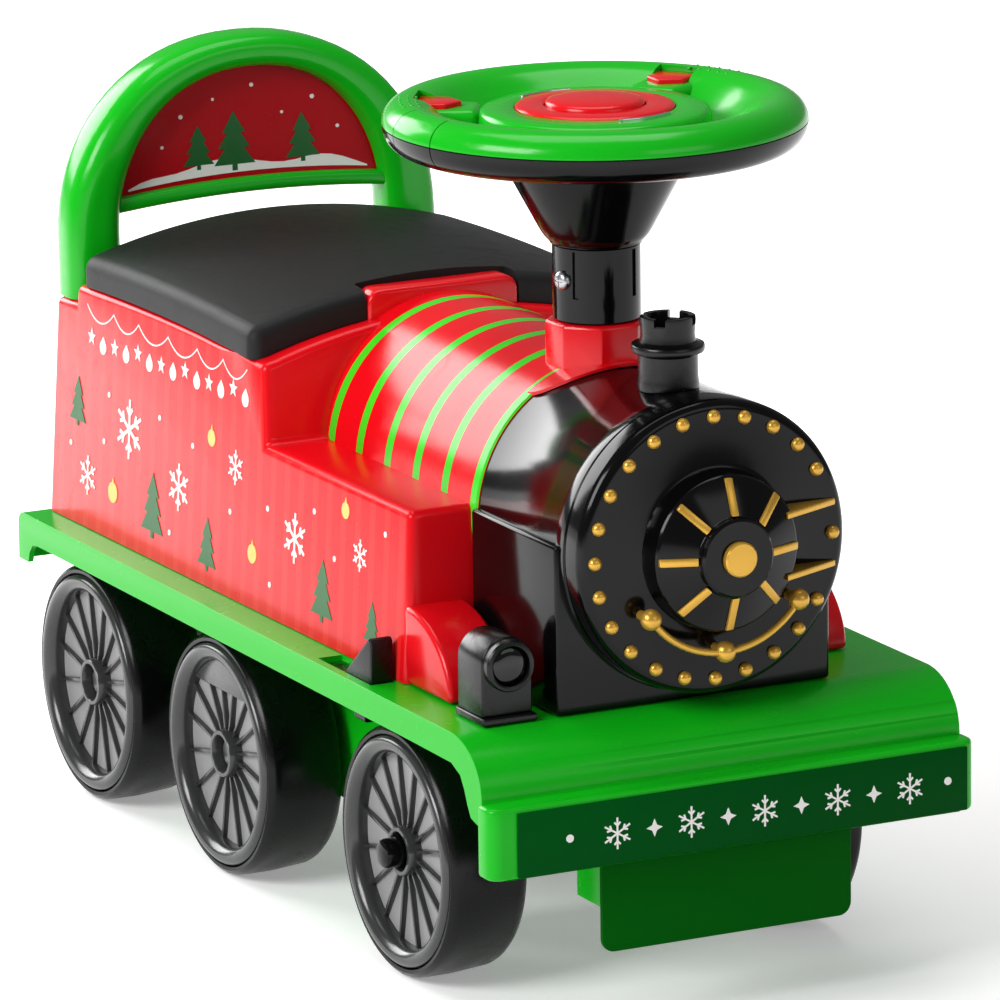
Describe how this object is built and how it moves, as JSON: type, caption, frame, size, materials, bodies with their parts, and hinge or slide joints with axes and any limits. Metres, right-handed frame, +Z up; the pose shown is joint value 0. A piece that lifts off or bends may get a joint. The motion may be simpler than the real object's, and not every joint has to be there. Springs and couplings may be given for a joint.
{
  "type": "ride-on vehicle",
  "caption": "Six-wheeled battery ride-on in steam-engine shape with a lifting storage seat, arched backrest, steered front wheels and an accelerator pedal for a small child to drive.",
  "frame": {"origin": "centre of the bounding box in plan, on the ground that the wheels stand on", "axes": "+X is the rider's left, +Y points to the rear, +Z is up; the front faces -Y"},
  "size_m": [0.277, 0.605, 0.4499],
  "materials": {
    "red": "glossy red moulding",
    "green": "glossy bright green moulding",
    "dark_green": "dark green film on plastic",
    "gloss_black": "glossy black moulding",
    "satin_black": "satin black moulding",
    "grey": "warm grey moulding",
    "gold": "gold painted plastic",
    "steel": "zinc plated steel",
    "nylon": "natural nylon",
    "lens": "dark smoked lens",
    "battery": "grey battery case"
  },
  "bodies": {
    "vehicle": {"footplate": "green", "bumper_plate": "dark_green", "tow_plate": "dark_green", "body_moulding": "red", "storage_bin": "satin_black", "seat_hinge_pin": "steel", "smokebox": "gloss_black", "smokebox_door": "gloss_black", "door_cap": "gold", "door_handrail": "gold", "chimney": "satin_black", "lamp_housing": "satin_black", "lamp_lens": "lens", "backrest_arch": "green", "backrest_panel": "red", "front_beam": "satin_black", "column_bush": "nylon", "gearbox_case": "satin_black", "drive_motor": "steel", "battery_tray": "satin_black", "battery_pack": "battery", "pedal_switch": "gloss_black", "middle_bush_left": "nylon", "rear_bush_left": "nylon", "kingpin_left": "steel", "middle_bush_right": "nylon", "rear_bush_right": "nylon", "kingpin_right": "steel"},
    "steering": {"steering_wheel_upper": "green", "steering_wheel_lower": "gloss_black", "column_sleeve": "gloss_black", "column_screw": "steel", "steering_rod": "steel", "control_ring": "red"},
    "horn": {"horn_button": "red"},
    "left_thumb_button": {"thumb_button_left": "red"},
    "right_thumb_button": {"thumb_button_right": "red"},
    "seat": {"seat_lid": "satin_black"},
    "pedal": {"accelerator_pedal": "satin_black"},
    "left_knuckle": {"steering_knuckle_left": "satin_black"},
    "right_knuckle": {"steering_knuckle_right": "satin_black"},
    "link": {"tie_rod": "steel"},
    "front_left_wheel": {"front_wheel_left": "satin_black", "front_wheel_face_left": "grey"},
    "front_right_wheel": {"front_wheel_right": "satin_black", "front_wheel_face_right": "grey"},
    "middle_wheels": {"middle_axle": "steel", "middle_wheel_left": "satin_black", "middle_wheel_right": "satin_black", "middle_wheel_face_left": "grey", "middle_wheel_face_right": "grey"},
    "rear_wheels": {"rear_axle": "steel", "rear_wheel_left": "satin_black", "rear_wheel_right": "satin_black", "rear_wheel_face_left": "grey", "rear_wheel_face_right": "grey", "drive_gear": "nylon"},
    "pinion": {"motor_pinion": "steel"}
  },
  "joints": [
    {"name": "steer", "type": "hinge", "parent": "vehicle", "child": "steering", "pos_m": [0, -0.1525, 0.4374], "axis": [0, 0, 1], "range_deg": [-15, 15]},
    {"name": "steer_left_wheel", "type": "hinge", "parent": "vehicle", "child": "left_knuckle", "pos_m": [0.06, -0.1525, 0.066], "axis": [0, 0, 1], "range_deg": [-15, 15]},
    {"name": "steer_right_wheel", "type": "hinge", "parent": "vehicle", "child": "right_knuckle", "pos_m": [-0.06, -0.1525, 0.066], "axis": [0, 0, 1], "range_deg": [-15, 15]},
    {"name": "tie_rod_shift", "type": "slide", "parent": "vehicle", "child": "link", "axis": [1, 0, 0], "range_m": [-0.0075, 0.0075]},
    {"name": "front_left_spin", "type": "hinge", "parent": "left_knuckle", "child": "front_left_wheel", "pos_m": [0.098, -0.1525, 0.066], "axis": [1, 0, 0], "continuous": true},
    {"name": "front_right_spin", "type": "hinge", "parent": "right_knuckle", "child": "front_right_wheel", "pos_m": [-0.098, -0.1525, 0.066], "axis": [1, 0, 0], "continuous": true},
    {"name": "middle_wheels_spin", "type": "hinge", "parent": "vehicle", "child": "middle_wheels", "pos_m": [0, 0.0645, 0.066], "axis": [1, 0, 0], "continuous": true},
    {"name": "rear_wheels_spin", "type": "hinge", "parent": "vehicle", "child": "rear_wheels", "pos_m": [0, 0.2365, 0.066], "axis": [1, 0, 0], "continuous": true},
    {"name": "pinion_spin", "type": "hinge", "parent": "vehicle", "child": "pinion", "pos_m": [0, 0.2149, 0.0876], "axis": [1, 0, 0], "continuous": true},
    {"name": "seat_lift", "type": "hinge", "parent": "vehicle", "child": "seat", "pos_m": [0, 0.2408, 0.2935], "axis": [-1, 0, 0], "range_deg": [0, 50]},
    {"name": "pedal_press", "type": "hinge", "parent": "vehicle", "child": "pedal", "pos_m": [-0.1248, -0.0945, 0.153], "axis": [1, 0, 0], "range_deg": [0, 5], "stiffness_Nm_per_rad": 0.4, "springref_deg": -5.73},
    {"name": "horn_press", "type": "slide", "parent": "steering", "child": "horn", "axis": [0, 0, -1], "range_m": [0, 0.003], "stiffness_N_per_m": 300, "springref_m": -0.002},
    {"name": "left_button_press", "type": "slide", "parent": "steering", "child": "left_thumb_button", "axis": [0, 0, -1], "range_m": [0, 0.002], "stiffness_N_per_m": 200, "springref_m": -0.002},
    {"name": "right_button_press", "type": "slide", "parent": "steering", "child": "right_thumb_button", "axis": [0, 0, -1], "range_m": [0, 0.002], "stiffness_N_per_m": 200, "springref_m": -0.002}
  ],
  "couplings": [
    {"joint": "steer_left_wheel", "follows": "steer", "ratio": 1},
    {"joint": "steer_right_wheel", "follows": "steer", "ratio": 1},
    {"joint": "tie_rod_shift", "follows": "steer", "m_per_rad": -0.028},
    {"joint": "pinion_spin", "follows": "rear_wheels_spin", "ratio": -3}
  ]
}
